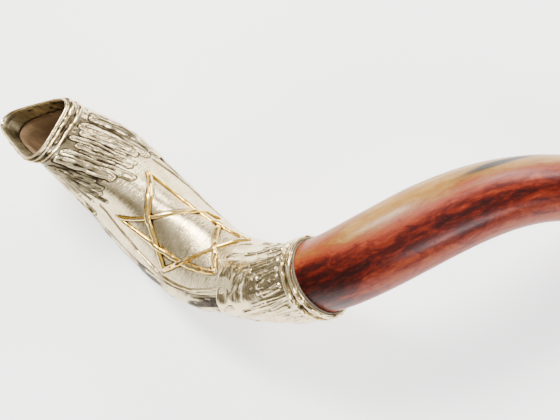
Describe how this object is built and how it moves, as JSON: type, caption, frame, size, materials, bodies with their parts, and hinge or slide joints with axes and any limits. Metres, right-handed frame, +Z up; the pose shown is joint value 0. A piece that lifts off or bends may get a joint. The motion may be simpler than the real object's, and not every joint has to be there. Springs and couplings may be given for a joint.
{
  "type": "decorated horn trumpet",
  "caption": "Long twisted antelope-horn shofar with a carved mouthpiece and a worked silver sleeve on its bell end, with bark-like relief and an interlaced gold star",
  "frame": {"origin": "middle of the box round the whole shofar, on the surface it lies on", "axes": "+X along the horn from the bell to the mouthpiece, +Z up as it rests on its sleeve and its tip, +Y across, towards the side the bell turns to"},
  "size_m": [0.9765, 0.1712, 0.13],
  "materials": {
    "horn": "polished natural horn, red-brown with tan streaks",
    "cement": "set filler cement between horn and silver",
    "silver": "warm polished silver, satin on its flats",
    "silver_bark": "tooled silver, dark oxide in the grooves",
    "gold": "polished gold-plated wire"
  },
  "bodies": {
    "root": {"horn": "horn", "adhesive_bed": "cement", "sleeve_shell": "silver", "mouth_rim": "silver", "mouth_lip": "silver", "mouth_collar": "silver", "mouth_collar_wire_front": "silver", "mouth_collar_wire_back": "silver", "mouth_bark_jacket": "silver_bark", "star_panel": "silver", "back_bark_panel": "silver_bark", "panel_border_upper": "silver", "panel_border_lower": "silver", "horn_end_bark_jacket": "silver_bark", "horn_end_collar": "silver", "horn_end_wire_inner": "silver", "horn_end_wire_outer": "silver", "star_triangle_a": "gold", "star_triangle_b": "gold"}
  },
  "joints": []
}
